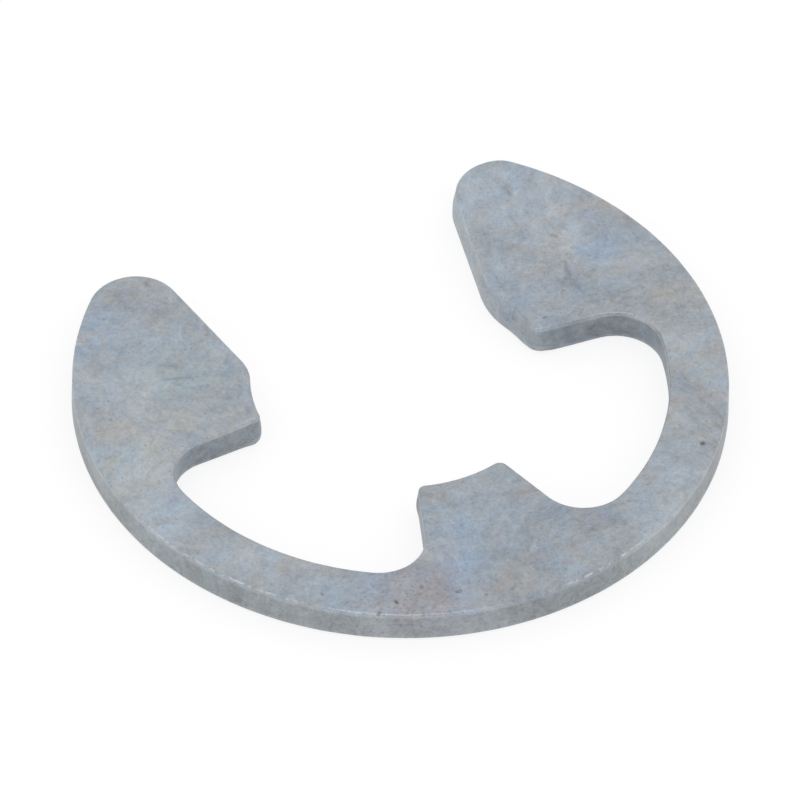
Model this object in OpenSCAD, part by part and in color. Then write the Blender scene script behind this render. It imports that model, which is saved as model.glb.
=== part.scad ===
// Open retaining ring (E-type circlip), blanked in one piece from spring strip.
// The origin is the middle of the shaft groove, on the underside; the mouth faces +Y.

/* [Groove and seat] */
// Diameter of the shaft groove that the ring grips
groove_d = 7.70; // [7.3:0.01:8.1]
// How much smaller than the groove the seat of the free ring is
pinch = 0.08; // [0:0.01:0.2]

/* [Strip and back] */
// Thickness of the strip
thickness = 0.89; // [0.6:0.01:1.3]
// Outer diameter
outer_d = 16.76; // [16.0:0.01:18.0]
// Radial width of the back, between the outer arc and the relief arc
back_w = 1.52; // [1.1:0.01:1.8]
// Distance of the outer arc's centre behind the seat's centre
back_shift = 0.06; // [0:0.01:0.2]

/* [Middle prong] */
// Width of the middle prong at its tip
prong_w = 2.44; // [1.6:0.01:3.0]
// Angle of each prong flank to the mouth's axis
prong_flare = 19; // [10:0.5:24]
// Corner radius at the prong's tip
prong_corner_r = 0.25; // [0.2:0.01:0.4]

/* [Lobes] */
// Height of the heel edge above the seat's centre, where it reaches the seat
heel_y = 0.09; // [-0.3:0.01:0.5]
// Fall of the heel edge towards the back, as an angle
heel_fall = 3.7; // [0:0.1:8]
// Corner radius between the heel edge and the seat
heel_corner_r = 0.22; // [0.2:0.01:0.5]
// Radius in the corners of the relief pockets
pocket_r = 1.20; // [0.8:0.01:1.4]
// Where the lead-in would meet the seat, as an angle above the X axis
toe_angle = 29; // [24:0.5:34]
// Radius of the toe, where the lead-in runs into the seat
toe_r = 1.50; // [0.6:0.01:2.0]
// Angle of the lead-in to the mouth's axis
lead_in = 10.2; // [6:0.1:14]
// Height of the nose above the seat's centre
nose_y = 6.16; // [5.9:0.01:6.4]
// Radius on the mouth side of the nose
nose_inner_r = 1.22; // [0.9:0.01:1.3]
// Radius on the outer side of the nose
nose_outer_r = 0.95; // [0.6:0.01:1.1]

/* [Edges] */
// Radius of the rolled edge round the upper face
roll_r = 0.14; // [0.06:0.01:0.18]
// Radius of the tumbled edge round the lower face
break_r = 0.12; // [0.06:0.01:0.18]

/* [Hidden] */
$fn = 96;

seat_r = (groove_d - pinch) / 2;
outer_r = outer_d / 2;
relief_r = outer_r - back_w;
seat_c = [0, 0];
back_c = [0, -back_shift];
// How far a cutter stands past the faces of the strip
clear = 0.5;
// How far a corner arc stands proud of the edges that it joins, so that they cross cleanly
lap = 0.012;
// How far a cutter carries on past the end of its edge, in the open
reach = 0.5;

// The point at distance r from c on the line through p along the unit vector d, on the far side of c
function on_line(p, d, c, r) =
    let (along = (p - c) * d, off = (p - c) * (p - c) - r * r)
    p + (sqrt(along * along - off) - along) * d;
function on_circle(c, r, angle) = c + r * [cos(angle), sin(angle)];
function left_of(d) = [-d[1], d[0]];
function bearing(v) = atan2(v[1], v[0]);
function foot(k, p, d) = p + ((k - p) * d) * d;

// The straight edges of the right half, each as a point and a direction
flank_p = [prong_w / 2, -seat_r];
flank_d = [sin(prong_flare), -cos(prong_flare)];
heel_p = [seat_r, heel_y];
heel_d = [cos(heel_fall), -sin(heel_fall)];
lead_p = on_circle(seat_c, seat_r, toe_angle);
lead_d = [sin(lead_in), cos(lead_in)];

// Centres of the corner arcs, each a radius away from the edges or arcs that it joins
tip_k = on_line(flank_p - prong_corner_r * left_of(flank_d), flank_d, seat_c, seat_r + prong_corner_r);
root_k = on_line(flank_p + pocket_r * left_of(flank_d), flank_d, back_c, relief_r - pocket_r);
pocket_k = on_line(heel_p - pocket_r * left_of(heel_d), heel_d, back_c, relief_r - pocket_r);
heel_k = on_line(heel_p + heel_corner_r * left_of(heel_d), heel_d, seat_c, seat_r + heel_corner_r);
toe_k = on_line(lead_p - toe_r * left_of(lead_d), lead_d, seat_c, seat_r + toe_r);
lead_k = lead_p - nose_inner_r * left_of(lead_d);
nose_k = lead_k + (nose_y - nose_inner_r - lead_k[1]) / lead_d[1] * lead_d;
brow_k = on_line([0, nose_y - nose_outer_r], [1, 0], back_c, outer_r - nose_outer_r);

// Where the straight edges run into the corner arcs
tip_end = foot(tip_k, flank_p, flank_d);
root_end = foot(root_k, flank_p, flank_d);
heel_end = foot(heel_k, heel_p, heel_d);
pocket_end = foot(pocket_k, heel_p, heel_d);
toe_end = foot(toe_k, lead_p, lead_d);
nose_end = foot(nose_k, lead_p, lead_d);

// Section of the open space beside an edge at x = w, as far as x = far, with the edge's two round lips
module space(w, far) {
    away = w > far ? 0 : 1;
    translate([min(w, far), -clear]) square([abs(far - w), thickness + 2 * clear]);
    translate([w, 0]) mirror([away, 0]) {
        translate([0, thickness - roll_r]) lip(roll_r);
        translate([0, break_r]) mirror([0, 1]) lip(break_r);
    }
}

// What a round edge of radius r leaves open
module lip(r) {
    difference() {
        square([r, r + clear]);
        translate([r, 0]) circle(r);
    }
}

// The blanked disc: the strip's section turned about the middle of the outer arc
module disc() {
    translate(back_c) rotate_extrude() difference() {
        square([outer_r, thickness]);
        translate([outer_r, 0]) space(0, 1);
    }
}

// The space inside an arc, all round or from one bearing to another
module hole(c, r, from = 0, to = 360) {
    translate(c) rotate_extrude(angle = to - from, start = from) space(r, 0);
}

// The space outside the arc of a corner of the metal
module corner(c, r, from, to) {
    translate(c) rotate_extrude(angle = (to - from + 360) % 360, start = from) space(r, r + reach);
}

// The space beside a straight edge from p to q that has the metal on its left
module straight(p, q, width) {
    translate(p) rotate([90, 0, bearing(left_of(q - p))]) linear_extrude(norm(q - p)) space(0, -width);
}

// The cuts of the right half, in order: the relief pocket, the prong, the heel, the lead-in and the nose
module cut(step) {
    if (step == 1) hole(back_c, relief_r, bearing(root_k - back_c), bearing(pocket_k - back_c));
    if (step == 2) hole(root_k, pocket_r + lap);
    if (step == 3) hole(pocket_k, pocket_r + lap);
    if (step == 4) straight(root_end, tip_end - reach * flank_d, 1.2 * pocket_r);
    if (step == 5) straight(heel_end - reach * heel_d, pocket_end, 1.2 * pocket_r);
    if (step == 6) corner(tip_k, prong_corner_r + lap, bearing(tip_end - tip_k), bearing(seat_c - tip_k));
    if (step == 7) corner(heel_k, heel_corner_r + lap, bearing(seat_c - heel_k), bearing(heel_end - heel_k));
    if (step == 8) straight(nose_end + seat_r * lead_d, toe_end - reach * lead_d, 1.2 * seat_r);
    if (step == 9) corner(toe_k, toe_r + lap, bearing(toe_end - toe_k), bearing(seat_c - toe_k));
    if (step == 10) straight([outer_r, nose_y], [0, nose_y], outer_r);
    if (step == 11) corner(nose_k, nose_inner_r + lap, 90, bearing(nose_end - nose_k));
    if (step == 12) corner(brow_k, nose_outer_r + lap, bearing(brow_k - back_c), 90);
}

// The disc after a number of cuts, each made on both sides of the mouth's axis
module blank(step) {
    difference() {
        if (step == 0) disc();
        else blank(step - 1);
        if (step == 0) hole(seat_c, seat_r);
        else for (side = [0, 1]) mirror([side, 0, 0]) cut(step);
    }
}

module ring() {
    color("slategray") blank(12);
}
ring();
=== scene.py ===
import math

import bmesh
import bpy
import numpy as np
from mathutils import Matrix, Vector
from mathutils.geometry import delaunay_2d_cdt


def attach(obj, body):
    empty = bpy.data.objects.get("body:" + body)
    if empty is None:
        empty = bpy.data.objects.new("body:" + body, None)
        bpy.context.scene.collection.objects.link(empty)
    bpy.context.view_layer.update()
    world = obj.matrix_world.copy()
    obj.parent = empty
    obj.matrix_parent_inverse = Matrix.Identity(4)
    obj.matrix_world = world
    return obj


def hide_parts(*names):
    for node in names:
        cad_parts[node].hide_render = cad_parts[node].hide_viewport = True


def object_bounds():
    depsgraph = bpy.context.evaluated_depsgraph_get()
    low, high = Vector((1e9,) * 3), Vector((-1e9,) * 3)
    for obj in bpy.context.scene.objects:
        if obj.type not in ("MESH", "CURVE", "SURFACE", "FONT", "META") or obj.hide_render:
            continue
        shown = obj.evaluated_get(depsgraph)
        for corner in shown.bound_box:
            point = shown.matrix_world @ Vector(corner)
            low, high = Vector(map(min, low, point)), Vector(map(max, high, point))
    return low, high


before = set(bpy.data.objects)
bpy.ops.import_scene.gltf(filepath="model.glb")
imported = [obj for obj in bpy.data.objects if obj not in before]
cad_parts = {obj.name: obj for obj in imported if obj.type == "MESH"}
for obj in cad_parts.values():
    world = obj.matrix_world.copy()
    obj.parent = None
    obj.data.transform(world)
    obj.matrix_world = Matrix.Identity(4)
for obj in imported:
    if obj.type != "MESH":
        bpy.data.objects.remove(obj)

mm = 0.001
cadLow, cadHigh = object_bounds()
scene = bpy.context.scene


def linearColour(hexText, alpha=1.0):
    values = [int(hexText[i:i + 2], 16) / 255 for i in (1, 3, 5)]
    return [v / 12.92 if v <= 0.04045 else ((v + 0.055) / 1.055) ** 2.4 for v in values] + [alpha]


def addNode(tree, kind, inputs=None, **settings):
    node = tree.nodes.new(kind)
    for name, value in settings.items():
        setattr(node, name, value)
    for name, value in (inputs or {}).items():
        if isinstance(value, bpy.types.NodeSocket):
            tree.links.new(value, node.inputs[name])
        else:
            node.inputs[name].default_value = value
    return node


# Camera: a long lens far off, so parallel rays, looking down over the closed back of the ring
view = {
    "elevation": 45.67,  # degrees above the floor
    "turn": 25.81,  # degrees from the mouth's axis
    "roll": 1.5,  # degrees
    "across": 20.407,  # mm over the picture's width
    "aim": (0.0, -0.06, 0.0),  # mm, the middle of the outer arc
    "aimDrop": 0.122,  # mm that this point lies below the picture's middle
    "distance": 200.0,  # mm
    "clip": (10.0, 2000.0),  # mm, nearest and farthest that it sees
}


def placeCamera():
    el, turn, roll = (math.radians(view[k]) for k in ("elevation", "turn", "roll"))
    level = math.cos(el)
    ahead = Vector((math.sin(turn) * level, math.cos(turn) * level, -math.sin(el)))
    flat = Vector((math.cos(turn), -math.sin(turn), 0))
    rise = flat.cross(ahead)
    right = flat * math.cos(roll) + rise * math.sin(roll)
    up = rise * math.cos(roll) - flat * math.sin(roll)
    lens = bpy.data.cameras.new("camera")
    lens.type = "ORTHO"
    lens.ortho_scale = view["across"] * mm
    lens.clip_start, lens.clip_end = (reach * mm for reach in view["clip"])
    camera = bpy.data.objects.new("camera", lens)
    place = (Vector(view["aim"]) + up * view["aimDrop"] - ahead * view["distance"]) * mm
    facing = Matrix((right, up, -ahead)).transposed().to_4x4()
    camera.matrix_world = Matrix.Translation(place) @ facing
    scene.collection.objects.link(camera)
    scene.camera = camera


placeCamera()
print("camera placed")

# Sizes of the blanked ring in mm and degrees. The two halves of the outline differ a little
ringSizes = {
    "thickness": 0.89,
    "outerRadius": 8.38,
    "reliefRadius": 6.86,
    "backShift": 0.06,
    "seatRadius": 3.81,
    "prongWidth": 2.44,
    "prongFlare": 19.0,
    "prongCorner": {"right": 0.24, "left": 0.18},
    "pocketCorner": 1.21,
    "toeAngle": {"right": 29.0, "left": 29.0},
    "toe": {"right": 2.3, "left": 1.25},
    "leadIn": 10.2,
    "noseHeight": 6.16,
    "noseInner": {"right": 1.15, "left": 1.14},
    "noseOuter": {"right": 0.92, "left": 1.27},
    # The heels are crisp at the upper face and torn at the lower one: each face has its own outline
    "upperHeel": {
        "height": 0.19,
        "fall": 5.2,
        "corner": {"right": 0.13, "left": 0.13},
        "seatRadius": {"right": 3.91, "left": 3.81},
    },
    "lowerHeel": {
        "height": 0.13,
        "fall": 3.7,
        "corner": {"right": 0.42, "left": 0.30},
        "seatRadius": {"right": 3.81, "left": 3.81},
    },
    "tipSpread": {"right": 0.04, "left": 0.09},  # how far the lower half stands out at a sharp corner
    "heelSpread": {"right": 0.0, "left": 0.12},
    "pocketShade": {"right": 1.0, "left": 0.95},  # how strong the painted shade is in each pocket
    "rubbed": 0.7,  # how far the walls that meet a shaft have the face's own plate again
    "lowerFull": 0.6,  # share of the thickness, from the top, over which the lower outline takes over
    "roll": 0.07,  # edge radius round the upper face
    "tumbled": 0.10,  # edge radius round the lower face
    "cornerInset": 0.08,  # how much wider and
    "cornerLift": 0.24,  # how much higher that edge is rounded at a sharp corner
    "rows": {"lower": 5, "wall": 8, "upper": 7},  # steps round each edge and up the wall
    "rim": (30, 80),  # degrees round the upper edge where it has its specks and painted highlight and is burnished
    "lowerShade": 0.6,  # share of the wall's plate, with its painted shade, on the lower edge,
    "lowerShadeFrom": 50,  # from so many degrees round it
    "spacing": 0.05,  # between points along the outline
    "faceSpacing": 0.13,  # between points on the flat faces
    "faceClear": 0.6,  # share of that distance that they keep from the outline
    "blend": 7,  # points over which a corner's spread and a pocket's painted shade fade in
}


def leftOf(d):
    return Vector((-d.y, d.x))


def bearing(v):
    return math.atan2(v.y, v.x)


def onLine(p, d, c, r):
    along = (p - c).dot(d)
    off = (p - c).length_squared - r * r
    return p + (math.sqrt(along * along - off) - along) * d


def foot(k, p, d):
    return p + (k - p).dot(d) * d


def towards(c, k, r):
    return c + (k - c).normalized() * r


def halfEdges(s, side, face):
    seat = Vector((0, 0))
    back = Vector((0, -s["backShift"]))
    seatR, outerR, reliefR = s["seatRadius"], s["outerRadius"], s["reliefRadius"]
    tipR, pocketR = s["prongCorner"][side], s["pocketCorner"]
    height = s[face]["height"]
    heelR, contactR = s[face]["corner"][side], s[face]["seatRadius"][side]
    toeR = s["toe"][side]
    innerR, outR = s["noseInner"][side], s["noseOuter"][side]
    flare, fall, lead = (math.radians(v) for v in (s["prongFlare"], s[face]["fall"], s["leadIn"]))
    toeAngle = math.radians(s["toeAngle"][side])
    # A point P on each straight edge and its direction D
    flankP = Vector((s["prongWidth"] / 2, -seatR))
    flankD = Vector((math.sin(flare), -math.cos(flare)))
    heelP = Vector((contactR, height))
    heelD = Vector((math.cos(fall), -math.sin(fall)))
    leadP = contactR * Vector((math.cos(toeAngle), math.sin(toeAngle)))
    leadD = Vector((math.sin(lead), math.cos(lead)))
    # Centres of the corner arcs
    tip = onLine(flankP - tipR * leftOf(flankD), flankD, seat, seatR + tipR)
    root = onLine(flankP + pocketR * leftOf(flankD), flankD, back, reliefR - pocketR)
    pocket = onLine(heelP - pocketR * leftOf(heelD), heelD, back, reliefR - pocketR)
    heel = onLine(heelP + heelR * leftOf(heelD), heelD, seat, contactR + heelR)
    toe = onLine(leadP - toeR * leftOf(leadD), leadD, seat, contactR + toeR)
    leadK = leadP - innerR * leftOf(leadD)
    nose = leadK + (s["noseHeight"] - innerR - leadK.y) / leadD.y * leadD
    brow = onLine(Vector((0, s["noseHeight"] - outR)), Vector((1, 0)), back, outerR - outR)
    tipOut, heelOut = s["tipSpread"][side], s["heelSpread"][side]
    shade, worn = s["pocketShade"][side], s["rubbed"]
    # Each edge's end, and for an arc its centre and whether the open side holds the centre. Then its
    # marks: depth in a pocket, which sets its painted shade, how far its lower half stands out, sharp
    # corner or not, rubbed wall
    return [
        (towards(seat, tip, seatR), seat, True, (0.2 * shade, 0, 0, 0)),
        (foot(tip, flankP, flankD), tip, False, (0.2 * shade, tipOut, 1, 0)),
        (foot(root, flankP, flankD), None, None, (0.3 * shade, 0, 0, 0)),
        (towards(back, root, reliefR), root, True, (0.6 * shade, 0, 0, 0)),
        (towards(back, pocket, reliefR), back, True, (0.9 * shade, 0, 0, 0)),
        (foot(pocket, heelP, heelD), pocket, True, (0.6 * shade, 0, 0, 0)),
        (foot(heel, heelP, heelD), None, None, (0.5 * shade, 0, 0, 0)),
        (towards(seat, heel, contactR), heel, False, (0.3 * shade, heelOut, 1, 0)),
        (towards(seat, toe, contactR), seat, True, (0, 0, 0, worn)),
        (foot(toe, leadP, leadD), toe, False, (0, 0, 0, worn)),
        (foot(nose, leadP, leadD), None, None, (0, 0, 0, worn)),
        (Vector((nose.x, s["noseHeight"])), nose, False, (0, 0, 0, worn)),
        (Vector((brow.x, s["noseHeight"])), None, None, (0, 0, 0, 0)),
        (towards(back, brow, outerR), brow, False, (0, 0, 0, 0)),
    ]


def arcTurn(start, end, centre, openInside):
    a, b = bearing(start - centre), bearing(end - centre)
    return (b - a) % math.tau if openInside else -((a - b) % math.tau)


def pointCount(start, end, centre, openInside, spacing):
    if centre is None:
        return max(2, round((end - start).length / spacing))
    turn = abs(arcTurn(start, end, centre, openInside))
    return max(6, round(turn * (start - centre).length / spacing))


def walkEdge(start, end, centre, openInside, count):
    if centre is None:
        out = leftOf((end - start).normalized())
        return [(start.lerp(end, i / count), out) for i in range(count)]
    first, turn = bearing(start - centre), arcTurn(start, end, centre, openInside)
    radius = (start - centre).length
    points = []
    for i in range(count):
        angle = first + turn * i / count
        spoke = Vector((math.cos(angle), math.sin(angle)))
        points.append((centre + radius * spoke, -spoke if openInside else spoke))
    return points


# Both faces' outlines have the same number of points, so that the wall between them is even
def halfOutline(s, side):
    upperAt = lowerAt = Vector((0, -s["seatRadius"]))
    points = []
    for upper, lower in zip(halfEdges(s, side, "upperHeel"), halfEdges(s, side, "lowerHeel")):
        count = pointCount(upperAt, *upper[:3], s["spacing"])
        highs = walkEdge(upperAt, *upper[:3], count)
        lows = walkEdge(lowerAt, *lower[:3], count)
        points += [(*high, *low, upper[3]) for high, low in zip(highs, lows)]
        upperAt, lowerAt = upper[0], lower[0]
    return points, upperAt


def ringOutline(s):
    right, rightEnd = halfOutline(s, "right")
    left, leftEnd = halfOutline(s, "left")
    flip = Matrix.Diagonal((-1, 1))  # both halves are made on the right
    back = Vector((0, -s["backShift"]))
    plain = (0, 0, 0, 0)
    arc = (flip @ leftEnd, back, False)
    outer = walkEdge(rightEnd, *arc, pointCount(rightEnd, *arc, s["spacing"]))
    outer.append((flip @ leftEnd, (flip @ leftEnd - back).normalized()))
    mirrored = [(*(flip @ v for v in vectors), mark) for *vectors, mark in reversed(left[1:])]
    return right + [(*place, *place, plain) for place in outer] + mirrored


# Rows of points from the lower face to the upper one: a share of the wall, or degrees round an edge
def edgeRows(s):
    lower, wall, upper = (s["rows"][zone] for zone in ("lower", "wall", "upper"))
    rows = [("lower", 90 / lower * i) for i in range(lower + 1)]
    rows += [("wall", i / wall) for i in range(1, wall)]
    return rows + [("upper", 90 / upper * i) for i in range(upper + 1)]


def rowPlace(s, zone, step, corner):
    wide = s["tumbled"] + s["cornerInset"] * corner
    tall = s["tumbled"] + s["cornerLift"] * corner
    if zone == "wall":
        return 0.0, tall + (s["thickness"] - s["roll"] - tall) * step
    turn = math.radians(step)
    if zone == "lower":
        return wide * (1 - math.sin(turn)), tall * (1 - math.cos(turn))
    return s["roll"] * (1 - math.cos(turn)), s["thickness"] - s["roll"] * (1 - math.sin(turn))


# How far a row shows the rim, where it is burnished and has its painted highlight, and the wall's plate
# with its painted shade
def rowTones(s, zone, step):
    rimFrom, rimTo = s["rim"]
    rim = 1.0 if zone == "upper" and rimFrom < step < rimTo else 0.0
    if zone == "wall":
        return rim, 1.0
    return rim, s["lowerShade"] if zone == "lower" and step > s["lowerShadeFrom"] else 0.0


# A triangular grid of points inside the outline and clear of it
def innerPoints(loop, spacing, clear):
    pts = np.array([(p.x, p.y) for p in loop])
    nxt = np.roll(pts, -1, axis=0)
    low, high = pts.min(axis=0), pts.max(axis=0)
    pitch = spacing * 0.866  # between the grid's rows
    grid = []
    for j in range(int((high[1] - low[1]) / pitch)):
        y = low[1] + pitch * (j + 0.5)
        shift = 0.5 * (j % 2)
        cross = (pts[:, 1] > y) != (nxt[:, 1] > y)
        p, q = pts[cross], nxt[cross]
        ends = np.sort(p[:, 0] + (y - p[:, 1]) / (q[:, 1] - p[:, 1]) * (q[:, 0] - p[:, 0]))
        for a, b in zip(ends[::2], ends[1::2]):
            first, last = math.ceil(a / spacing - shift), math.floor(b / spacing - shift)
            for i in range(first, last + 1):
                x = spacing * (i + shift)
                if np.min((pts[:, 0] - x) ** 2 + (pts[:, 1] - y) ** 2) > clear * clear:
                    grid.append(Vector((x, y)))
    return grid


def ringMesh(s):
    outline = ringOutline(s)
    section = edgeRows(s)
    count, rows = len(outline), len(section)
    blur = np.convolve(np.ones(s["blend"]), np.ones(s["blend"])) / s["blend"] ** 2
    marks = np.tile([edge[4] for edge in outline], (3, 1))  # three laps, so that the blur has no end
    fades = [np.convolve(marks[:, k], blur, "same")[count:2 * count] for k in range(4)]
    depths, spreads, corners = (fade.tolist() for fade in fades[:3])
    verts, faces = [], []
    tones = {"edgeTone": [], "wallTone": [], "pocketPaintedShade": []}
    for zone, step in section:
        for (point, out, lowPoint, lowOut, _), spread, corner in zip(outline, spreads, corners):
            inset, z = rowPlace(s, zone, step, corner)
            down = min(1.0, (s["thickness"] - z) / (s["lowerFull"] * s["thickness"]))
            low = down * down * (3 - 2 * down)
            at = point.lerp(lowPoint, low) + out.lerp(lowOut, low) * (spread * low - inset)
            verts.append(Vector((at.x, at.y, z)) * mm)
        rim, wall = rowTones(s, zone, step)
        tones["edgeTone"] += [rim] * count
        tones["wallTone"] += (wall * (1 - fades[3])).tolist()
        tones["pocketPaintedShade"] += depths
    for j in range(rows - 1):
        here, above = j * count, (j + 1) * count
        for i in range(count):
            k = (i + 1) % count
            faces.append((here + i, here + k, above + k, above + i))
    for row in (0, rows - 1):
        rim = [Vector(verts[row * count + i][:2]) / mm for i in range(count)]
        inner = innerPoints(rim, s["faceSpacing"], s["faceClear"] * s["faceSpacing"])
        z = verts[row * count].z
        border = [list(range(count))]
        keepInside, tolerance = 1, 1e-6
        made, _, tris, origin, _, _ = delaunay_2d_cdt(rim + inner, [], border, keepInside, tolerance)
        index = {}
        for i, p in enumerate(made):
            if origin[i] and origin[i][0] < count:
                index[i] = row * count + origin[i][0]
            else:
                index[i] = len(verts)
                verts.append(Vector((p.x, p.y, 0)) * mm + Vector((0, 0, z)))
                for values in tones.values():
                    values.append(0.0)
        faces += [tuple(index[i] for i in tri) for tri in tris]
    mesh = bpy.data.meshes.new("ring_body")
    mesh.from_pydata(verts, [], faces)
    mesh.update()
    work = bmesh.new()
    work.from_mesh(mesh)
    bmesh.ops.recalc_face_normals(work, faces=work.faces)
    work.to_mesh(mesh)
    work.free()
    for name, values in tones.items():
        mesh.attributes.new(name, "FLOAT", "POINT").data.foreach_set("value", values)
    mesh.shade_smooth()
    return mesh


def tumbledTree(material):
    tree = bpy.data.node_groups.new("tumbledSurface", "GeometryNodeTree")
    panel = tree.interface
    panel.new_socket("Geometry", in_out="INPUT", socket_type="NodeSocketGeometry")
    for name in ("Dent depth", "Dent width", "Ripple depth", "Ripple width", "Seed"):
        panel.new_socket(name, in_out="INPUT", socket_type="NodeSocketFloat")
    panel.new_socket("Geometry", in_out="OUTPUT", socket_type="NodeSocketGeometry")
    given = addNode(tree, "NodeGroupInput").outputs
    place = addNode(tree, "GeometryNodeInputPosition").outputs[0]
    normal = addNode(tree, "GeometryNodeInputNormal").outputs[0]
    shift = None
    octaves = 2.0
    for name, apart in (("Dent", 0.0), ("Ripple", 7.0)):  # so that the two don't line up
        size = addNode(tree, "ShaderNodeMath", {0: 1.0, 1: given[name + " width"]},
                       operation="DIVIDE").outputs[0]
        turn = addNode(tree, "ShaderNodeMath", {0: given["Seed"], 1: apart}, operation="ADD").outputs[0]
        rough = addNode(tree, "ShaderNodeTexNoise",
                        {"Vector": place, "W": turn, "Scale": size, "Detail": octaves},
                        noise_dimensions="4D").outputs[0]
        level = addNode(tree, "ShaderNodeMath", {0: rough, 1: 0.5}, operation="SUBTRACT").outputs[0]
        amount = addNode(tree, "ShaderNodeMath", {0: level, 1: given[name + " depth"]},
                         operation="MULTIPLY").outputs[0]
        if shift is not None:
            amount = addNode(tree, "ShaderNodeMath", {0: amount, 1: shift}, operation="ADD").outputs[0]
        shift = amount
    push = addNode(tree, "ShaderNodeVectorMath", {0: normal, "Scale": shift},
                   operation="SCALE").outputs[0]
    moved = addNode(tree, "GeometryNodeSetPosition",
                    {"Geometry": given["Geometry"], "Offset": push}).outputs[0]
    real = addNode(tree, "GeometryNodeRealizeInstances", {"Geometry": moved}).outputs[0]
    done = addNode(tree, "GeometryNodeSetMaterial", {"Geometry": real, "Material": material}).outputs[0]
    addNode(tree, "NodeGroupOutput", {"Geometry": done})
    return tree


# Barrel tumbling: shallow dents over the whole blank and a finer ripple
tumbling = {
    "Dent depth": 0.012 * mm,
    "Dent width": 0.8 * mm,
    "Ripple depth": 0.006 * mm,
    "Ripple width": 0.16 * mm,
    "Seed": 4.0,
}

# Zinc plate on spring steel, clear passivated: a satin grey metal, mottled by the plating bath.
# It looks bluer where the passivate is thick and straw where it is thin. In the pockets a painted shade
# darkens it, and the walls are darker, partly the sheared edge's own grey and partly painted shade
plateLook = {
    "straw": "#B1B0A6",
    "blue": "#98AFC2",
    # the sheared wall's own grey, made darker than the faces as painted shade on the side walls
    "wall": "#969E9E",
    # painted shade in the pockets
    "pocket": "#6A7882",
    "bright": "#C6CACE",  # painted highlight on the burnished rim
    "pit": "#5A5C60",
    "wallCover": 0.8,  # how far the wall's plate, with its painted shade, hides the faces' tint on the walls
    "roughness": 0.36,
    "roughnessShifts": {"bloom": 0.08, "wallTone": 0.08, "worn": -0.12},  # smoother where burnished
    "relief": {"grain": 0.003, "worm": 0.006, "spark": 0.004, "marked": -0.012},  # mm, as bump
    "sparkled": {"edgeTone": 0.40, "wallTone": 0.35},  # light and dark specks on rim and walls
    "wander": 0.35,  # mm that the outlines of patches and marks stray,
    "strays": {"patch": 3.0, "mark": 0.6},  # how many times as far each does so,
    "wanderNoise": (0.9, 5.0, 0.65),  # and the width of the bends in mm, octaves and roughness
    "patchReach": (1.5, 0.2),  # in radii, where a patch begins and where it is full
    "markReach": (2.0, 0.2),  # the same for a mark, in halves of its width
}

# Tiny pits of the plating bath, at most one to a cell
plateSpecks = {
    "apart": 0.30,  # mm, width of a cell
    "none": 0.4,  # share of the cells that hold none
    "radius": 0.15,  # of the largest, as a share of a cell's width
    "fade": 0.12,  # over which one fades out, as the same share
    "dark": 0.4,
}

# Levels of a noise pattern between which something comes in, and how far where that isn't 1
plateLevels = {
    "fleck": {"From Min": 0.62, "From Max": 0.80, "To Max": 0.36},
    "broken": {"From Min": 0.25, "From Max": 0.50},  # gaps in marks and pits
    "worn": {"From Min": 0.46, "From Max": 0.60},  # spots of the painted highlight on the burnished rim
}

# Noise patterns: width of the largest shapes in mm, octaves below it, roughness, distortion
platePatterns = {
    "cloud": (5.0, 8.0, 0.80, 0.3),
    "bloom": (0.9, 5.0, 0.80, 0.6),
    "mottle": (3.2, 8.0, 0.86, 0.5),
    "worm": (0.34, 3.0, 0.70, 1.0),
    "fleck": (0.10, 1.0, 0.60, 0.2),
    "grain": (0.07, 1.0, 0.50, 0.0),  # drawn coarser than zinc crystals so that it shows
    "spark": (0.16, 2.0, 0.70, 0.0),
}
patternShift = (0.03, 0.05, 0.02)  # m, the first times a pattern's number, so that no two line up

# How far each pattern moves a layer from its middle: brightness and green as a share, blue from
# straw (0) to blue (1). Two layers have patches alone: more dark flecks, and a painted highlight on the
# burnished rim
plateLayers = {
    "bright": (1.01, {"mottle": 1.42, "worm": 0.54, "grain": 0.20}),
    "blue": (0.46, {"cloud": 0.7, "bloom": 1.4}),
    "green": (-0.037, {"bloom": 0.03, "grain": 0.14, "mottle": 0.06}),
    "flecks": (0.0, {}),
    "burnishAndHighlight": (0.0, {}),
}

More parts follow.
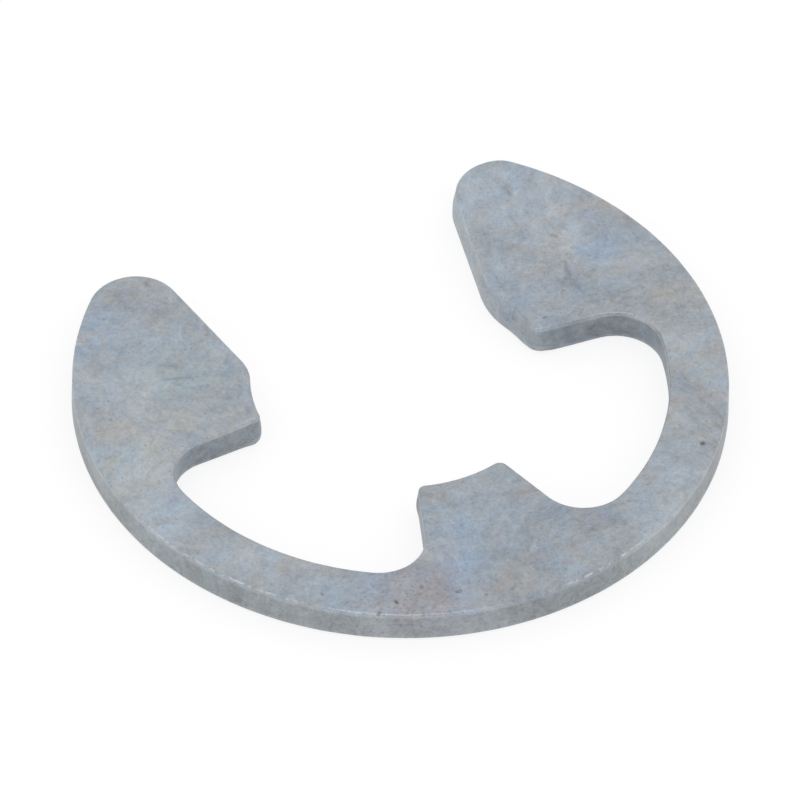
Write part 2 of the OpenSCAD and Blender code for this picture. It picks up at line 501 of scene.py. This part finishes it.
# Patches of the bath's tint, of brightness and of the rim's painted highlight: layer, x, y and radius
# in mm, how much
platePatches = (
    ("blue", 5.2, 4.6, 1.3, 0.10), ("blue", 6.6, 3.3, 0.5, 0.20),
    ("blue", 6.5, 2.0, 0.6, 0.25), ("blue", 7.2, 2.3, 0.5, 0.20),
    ("blue", 5.4, 2.5, 0.6, -0.20), ("blue", 4.8, 1.0, 1.0, 0.08),
    ("blue", -5.0, 2.7, 1.2, 0.10), ("blue", -6.0, 4.6, 1.0, 0.15),
    ("blue", -7.6, 1.2, 0.5, -0.30), ("blue", -6.4, 0.8, 0.9, -0.15),
    ("blue", -7.2, -2.0, 0.6, 0.15), ("blue", -6.7, -3.4, 0.8, -0.05),
    ("blue", -2.0, -6.1, 0.4, -0.15), ("blue", -0.5, -5.3, 1.3, 0.14),
    ("blue", -1.2, -6.8, 0.9, 0.25), ("blue", -0.2, -7.9, 0.5, -0.20),
    ("blue", -2.6, -7.4, 0.8, -0.10), ("blue", -4.4, -6.6, 0.9, 0.10),
    ("bright", 5.9, 4.6, 1.8, 0.08), ("bright", 4.8, 0.8, 1.7, -0.11),
    ("bright", 7.6, 0.5, 1.4, -0.06), ("bright", 7.4, -2.8, 1.2, 0.03),
    ("bright", -7.6, -0.3, 1.3, 0.12), ("bright", -6.4, 2.0, 1.4, 0.03),
    ("bright", -4.4, 0.8, 1.0, -0.03), ("bright", -2.4, -7.4, 1.5, -0.09),
    ("green", -5.0, 2.4, 1.2, 0.03), ("green", -7.6, 0.0, 1.0, 0.02),
    ("green", -2.6, -7.4, 1.6, -0.04), ("green", 4.9, 1.0, 1.4, -0.01),
    ("flecks", -3.4, -7.3, 1.5, 0.07),
    ("burnishAndHighlight", -8.0, -2.4, 1.1, 0.9), ("burnishAndHighlight", -7.4, -4.0, 1.2, 0.9),
    ("burnishAndHighlight", -6.4, -5.3, 1.0, 0.8), ("burnishAndHighlight", -5.3, -6.5, 1.0, 0.3),
    ("burnishAndHighlight", 2.4, -8.0, 1.2, 1.0), ("burnishAndHighlight", 1.0, -8.3, 1.0, 0.5),
)

# Rub marks and pits on the upper face: from x, y to x, y and half a width in mm, how dark
plateMarks = (
    (5.3, 5.1, 5.3, 4.8, 0.05, 0.40), (5.7, 3.1, 5.8, 3.0, 0.05, 0.45),
    (5.6, 2.1, 5.5, 1.5, 0.04, 0.30), (5.5, 1.3, 5.6, 0.9, 0.03, 0.25),
    (5.5, 0.6, 5.8, 0.5, 0.04, 0.25), (-5.4, 2.9, -5.0, 2.7, 0.04, 0.25),
    (-5.5, 2.4, -4.9, 2.2, 0.04, 0.30), (-1.8, -7.5, -1.75, -7.5, 0.05, 0.90),
    (-3.4, -7.2, -3.4, -7.15, 0.04, 1.00), (-4.0, -7.4, -3.95, -7.35, 0.04, 0.80),
    (4.0, -7.7, 4.0, -7.65, 0.03, 0.80), (6.1, -5.2, 6.15, -5.2, 0.05, 0.90),
    (-4.5, 5.7, -4.5, 5.6, 0.05, 0.45), (-7.35, 1.65, -7.35, 1.6, 0.03, 0.50),
    (4.3, 0.5, 4.35, 0.5, 0.03, 0.80), (-2.6, -7.0, -2.6, -6.95, 0.04, 0.60),
    (-3.0, -7.9, -2.95, -7.9, 0.04, 0.60), (-5.0, -6.2, -5.0, -6.15, 0.03, 0.60),
    (-4.6, -6.7, -4.55, -6.7, 0.03, 0.50), (-1.2, -7.9, -1.15, -7.9, 0.03, 0.50),
    (6.0, -4.8, 6.05, -4.85, 0.02, 0.50), (3.5, -6.3, 3.55, -6.35, 0.02, 0.60),
    (3.9, -7.2, 3.95, -7.2, 0.02, 0.60),
)


def noisePatterns(tree, place):
    noise = {}
    for number, (name, (width, detail, rough, bend)) in enumerate(platePatterns.items()):
        shift = (patternShift[0] * number, *patternShift[1:])
        spot = addNode(tree, "ShaderNodeMapping", {"Vector": place, "Location": shift}).outputs[0]
        noise[name] = addNode(tree, "ShaderNodeTexNoise", {
            "Vector": spot, "Scale": 1 / (width * mm), "Detail": detail, "Roughness": rough,
            "Distortion": bend}).outputs["Fac"]
    return noise


def noiseLayers(tree, noise):
    layer = {}
    for name, (middle, weights) in plateLayers.items():
        level = middle - 0.5 * sum(weights.values())
        for pattern, weight in weights.items():
            level = addNode(tree, "ShaderNodeMath", {0: noise[pattern], 1: weight, 2: level},
                            operation="MULTIPLY_ADD").outputs[0]
        layer[name] = level
    return layer


# Points stray before the distance to a patch or a mark is measured, so that none has a drawn outline
def strayedPlaces(tree, place):
    width, detail, rough = plateLook["wanderNoise"]
    stray = addNode(tree, "ShaderNodeTexNoise", {
        "Vector": place, "Scale": 1 / (width * mm), "Detail": detail,
        "Roughness": rough}).outputs["Color"]
    stray = addNode(tree, "ShaderNodeVectorMath", {0: stray, 1: (0.5, 0.5, 0.5)},
                    operation="SUBTRACT").outputs[0]
    spots = {}
    for name, share in plateLook["strays"].items():
        push = addNode(tree, "ShaderNodeVectorMath",
                       {0: stray, "Scale": share * plateLook["wander"] * mm},
                       operation="SCALE").outputs[0]
        spots[name] = addNode(tree, "ShaderNodeVectorMath", {0: place, 1: push},
                              operation="ADD").outputs[0]
    return spots


def addPatches(tree, layer, spot, top):
    begin, full = plateLook["patchReach"]
    for name, x, y, radius, amount in platePatches:
        away = addNode(tree, "ShaderNodeVectorMath", {0: spot, 1: (x * mm, y * mm, top)},
                       operation="DISTANCE").outputs["Value"]
        near = addNode(tree, "ShaderNodeMapRange", {
            "Value": away, "From Min": begin * radius * mm, "From Max": full * radius * mm,
            "To Max": amount}, interpolation_type="SMOOTHSTEP").outputs[0]
        layer[name] = addNode(tree, "ShaderNodeMath", {0: near, 1: layer[name]},
                              operation="ADD").outputs[0]


def tinyPits(tree, place):
    pits = plateSpecks
    cells = addNode(tree, "ShaderNodeTexVoronoi", {"Vector": place, "Scale": 1 / (pits["apart"] * mm)})
    chance = addNode(tree, "ShaderNodeSeparateColor", {0: cells.outputs["Color"]}).outputs[0]
    reach = addNode(tree, "ShaderNodeMapRange", {
        "Value": chance, "From Min": pits["none"], "To Max": pits["radius"]}).outputs[0]
    inside = addNode(tree, "ShaderNodeMath", {0: reach, 1: cells.outputs["Distance"]},
                     operation="SUBTRACT").outputs[0]
    return addNode(tree, "ShaderNodeMapRange", {
        "Value": inside, "From Max": pits["fade"], "To Max": pits["dark"]}).outputs[0]


# Each mark is the distance to the line between its ends
def addMarks(tree, marked, spot, top):
    begin, full = plateLook["markReach"]
    for x0, y0, x1, y1, width, amount in plateMarks:
        start, run = Vector((x0 * mm, y0 * mm, top)), Vector(((x1 - x0) * mm, (y1 - y0) * mm, 0))
        gone = addNode(tree, "ShaderNodeVectorMath", {0: spot, 1: start},
                       operation="SUBTRACT").outputs[0]
        share = addNode(tree, "ShaderNodeVectorMath", {0: gone, 1: run / run.length_squared},
                        operation="DOT_PRODUCT").outputs["Value"]
        share = addNode(tree, "ShaderNodeClamp", {0: share}).outputs[0]
        along = addNode(tree, "ShaderNodeVectorMath", {0: run, "Scale": share},
                        operation="SCALE").outputs[0]
        away = addNode(tree, "ShaderNodeVectorMath", {0: gone, 1: along},
                       operation="DISTANCE").outputs["Value"]
        near = addNode(tree, "ShaderNodeMapRange", {
            "Value": away, "From Min": begin * width * mm, "From Max": full * width * mm,
            "To Max": amount}).outputs[0]
        marked = addNode(tree, "ShaderNodeMath", {0: near, 1: marked}, operation="MAXIMUM").outputs[0]
    return marked


def plateMaterial():
    look = plateLook
    top = ringSizes["thickness"] * mm
    material = bpy.data.materials.new("zinc_plated_steel")
    material.use_nodes = True
    tree = material.node_tree
    tree.nodes.clear()
    place = addNode(tree, "ShaderNodeTexCoord").outputs["Object"]
    tone = {}
    for name in ("edgeTone", "wallTone", "pocketPaintedShade"):
        tone[name] = addNode(tree, "ShaderNodeAttribute", attribute_name=name).outputs["Fac"]
    noise = noisePatterns(tree, place)
    layer = noiseLayers(tree, noise)
    spots = strayedPlaces(tree, place)
    addPatches(tree, layer, spots["patch"], top)

    # Pits and marks, broken up by the worming, and then the dark flecks
    marked = addMarks(tree, tinyPits(tree, place), spots["mark"], top)
    broken = addNode(tree, "ShaderNodeMapRange",
                     {"Value": noise["worm"], **plateLevels["broken"]}).outputs[0]
    marked = addNode(tree, "ShaderNodeMath", {0: marked, 1: broken}, operation="MULTIPLY").outputs[0]
    dark = addNode(tree, "ShaderNodeMath", {0: noise["fleck"], 1: layer["flecks"]},
                   operation="ADD").outputs[0]
    dark = addNode(tree, "ShaderNodeMapRange", {"Value": dark, **plateLevels["fleck"]}).outputs[0]
    marked = addNode(tree, "ShaderNodeMath", {0: marked, 1: dark}, operation="MAXIMUM").outputs[0]

    for name, amount in look["sparkled"].items():
        speck = addNode(tree, "ShaderNodeMath", {0: noise["spark"], 1: 0.5},
                        operation="SUBTRACT").outputs[0]
        speck = addNode(tree, "ShaderNodeMath", {0: speck, 1: tone[name]},
                        operation="MULTIPLY").outputs[0]
        layer["bright"] = addNode(tree, "ShaderNodeMath", {0: speck, 1: amount, 2: layer["bright"]},
                                  operation="MULTIPLY_ADD").outputs[0]

    # Colour: the bath's tint, the wall's plate and the pocket's painted shade over it, brightness,
    # painted highlight on the burnished rim, marks
    inks = ("straw", "blue", "wall", "pocket", "bright", "pit")
    ink = {name: linearColour(look[name]) for name in inks}
    colour = addNode(tree, "ShaderNodeMix", {0: layer["blue"], 6: ink["straw"], 7: ink["blue"]},
                     data_type="RGBA").outputs[2]
    side = addNode(tree, "ShaderNodeMix", {0: tone["pocketPaintedShade"], 6: ink["wall"], 7: ink["pocket"]},
                   data_type="RGBA").outputs[2]
    cover = addNode(tree, "ShaderNodeMath", {0: tone["wallTone"], 1: look["wallCover"]},
                    operation="MULTIPLY").outputs[0]
    colour = addNode(tree, "ShaderNodeMix", {0: cover, 6: colour, 7: side},
                     data_type="RGBA").outputs[2]
    green = addNode(tree, "ShaderNodeMath",
                    {0: layer["bright"], 1: layer["green"], 2: layer["bright"]},
                    operation="MULTIPLY_ADD").outputs[0]
    scale = addNode(tree, "ShaderNodeCombineXYZ",
                    {0: layer["bright"], 1: green, 2: layer["bright"]}).outputs[0]
    colour = addNode(tree, "ShaderNodeVectorMath", {0: colour, 1: scale},
                     operation="MULTIPLY").outputs[0]
    # Painted highlight: light specks on the rim at the front, where it is burnished and also made
    # smoother
    worn = addNode(tree, "ShaderNodeMapRange",
                   {"Value": noise["spark"], **plateLevels["worn"]}).outputs[0]
    for share in (layer["burnishAndHighlight"], tone["edgeTone"], tone["edgeTone"]):
        worn = addNode(tree, "ShaderNodeMath", {0: worn, 1: share}, operation="MULTIPLY").outputs[0]
    for share, name in ((worn, "bright"), (marked, "pit")):
        colour = addNode(tree, "ShaderNodeMix", {0: share, 6: colour, 7: ink[name]},
                         data_type="RGBA").outputs[2]

    # Roughness and bump
    values = {**noise, **tone, "worn": worn, "marked": marked}
    rough = look["roughness"] - 0.5 * look["roughnessShifts"]["bloom"]
    for name, amount in look["roughnessShifts"].items():
        rough = addNode(tree, "ShaderNodeMath", {0: values[name], 1: amount, 2: rough},
                        operation="MULTIPLY_ADD").outputs[0]
    height = 0.0
    for name, depth in look["relief"].items():
        height = addNode(tree, "ShaderNodeMath", {0: values[name], 1: depth * mm, 2: height},
                         operation="MULTIPLY_ADD").outputs[0]
    bump = addNode(tree, "ShaderNodeBump",
                   {"Height": height, "Distance": 1.0, "Strength": 1.0}).outputs[0]
    shader = addNode(tree, "ShaderNodeBsdfPrincipled",
                     {"Base Color": colour, "Metallic": 1.0, "Roughness": rough, "Normal": bump})
    addNode(tree, "ShaderNodeOutputMaterial", {"Surface": shader.outputs[0]})
    return material


def makeRing():
    material = plateMaterial()
    base = bpy.data.objects.new("ring_blank", ringMesh(ringSizes))
    scene.collection.objects.link(base)
    tumble = base.modifiers.new("tumbling", "NODES")
    tumble.node_group = tumbledTree(material)
    for socket in tumble.node_group.interface.items_tree:
        if socket.in_out == "INPUT" and socket.name in tumbling:
            tumble[socket.identifier] = tumbling[socket.name]
    depsgraph = bpy.context.evaluated_depsgraph_get()
    finished = bpy.data.meshes.new_from_object(base.evaluated_get(depsgraph))
    bpy.data.objects.remove(base)
    ring = bpy.data.objects.new("plated_ring", finished)
    scene.collection.objects.link(ring)
    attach(ring, "root")
    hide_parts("ring")
    print("ring:", len(finished.vertices), "points,", len(finished.polygons), "faces")


makeRing()

# Studio: white floor and room, which the plate mirrors, and one soft lamp
studio = {
    "floorWidth": 400.0,  # mm
    "floorGap": 0.02,  # mm from the ring's underside down to the floor
    "floorLight": 0.22,  # how much of the floor's brightness the shadow can take away
    "floorGlow": 0.80,  # the rest of it
    "room": 0.93,  # brightness that the plate mirrors, with 1 as white
    "lampDistance": 150.0,  # mm
    "lamp": {"bearing": -115, "height": 60, "power": 0.012, "width": 40},  # degrees, watts and mm
}


def whiteRoom():
    world = bpy.data.worlds.new("room")
    world.use_nodes = True
    tree = world.node_tree
    tree.nodes.clear()
    seen = addNode(tree, "ShaderNodeLightPath").outputs["Is Camera Ray"]
    strength = addNode(tree, "ShaderNodeMapRange",
                       {"Value": seen, "To Min": studio["room"], "To Max": 1.0}).outputs[0]
    sky = addNode(tree, "ShaderNodeBackground", {"Color": (1, 1, 1, 1), "Strength": strength})
    addNode(tree, "ShaderNodeOutputWorld", {"Surface": sky.outputs[0]})
    scene.world = world


def whiteFloor():
    half = studio["floorWidth"] / 2 * mm
    mesh = bpy.data.meshes.new("floor")
    corners = [(-half, -half, 0), (half, -half, 0), (half, half, 0), (-half, half, 0)]
    mesh.from_pydata(corners, [], [(0, 1, 2, 3)])
    floor = bpy.data.objects.new("floor", mesh)
    floor.location.z = cadLow.z - studio["floorGap"] * mm
    scene.collection.objects.link(floor)
    material = bpy.data.materials.new("white_floor")
    material.use_nodes = True
    tree = material.node_tree
    tree.nodes.clear()
    share = studio["floorLight"]
    matt = addNode(tree, "ShaderNodeBsdfDiffuse", {"Color": (share, share, share, 1)})
    path = addNode(tree, "ShaderNodeLightPath").outputs
    seen = path["Is Camera Ray"]
    for ray in ("Is Glossy Ray", "Is Transmission Ray"):
        seen = addNode(tree, "ShaderNodeMath", {0: seen, 1: path[ray]}, operation="MAXIMUM").outputs[0]
    glow = addNode(tree, "ShaderNodeMath", {0: seen, 1: studio["floorGlow"]}, operation="MULTIPLY")
    glow = addNode(tree, "ShaderNodeEmission", {"Color": (1, 1, 1, 1), "Strength": glow.outputs[0]})
    both = addNode(tree, "ShaderNodeAddShader", {0: matt.outputs[0], 1: glow.outputs[0]})
    addNode(tree, "ShaderNodeOutputMaterial", {"Surface": both.outputs[0]})
    mesh.materials.append(material)


def softLamp():
    given = studio["lamp"]
    light = bpy.data.lights.new("softLamp", "AREA")
    light.shape = "DISK"
    light.size = given["width"] * mm
    light.energy = given["power"]
    a, e = math.radians(given["bearing"]), math.radians(given["height"])
    towardsLamp = Vector((math.cos(a) * math.cos(e), math.sin(a) * math.cos(e), math.sin(e)))
    lamp = bpy.data.objects.new("softLamp", light)
    lamp.location = towardsLamp * studio["lampDistance"] * mm
    lamp.rotation_mode = "QUATERNION"
    lamp.rotation_quaternion = (-towardsLamp).to_track_quat("-Z", "Y")
    scene.collection.objects.link(lamp)


whiteRoom()
whiteFloor()
softLamp()
print("studio lit")

scene.view_settings.view_transform = "Standard"
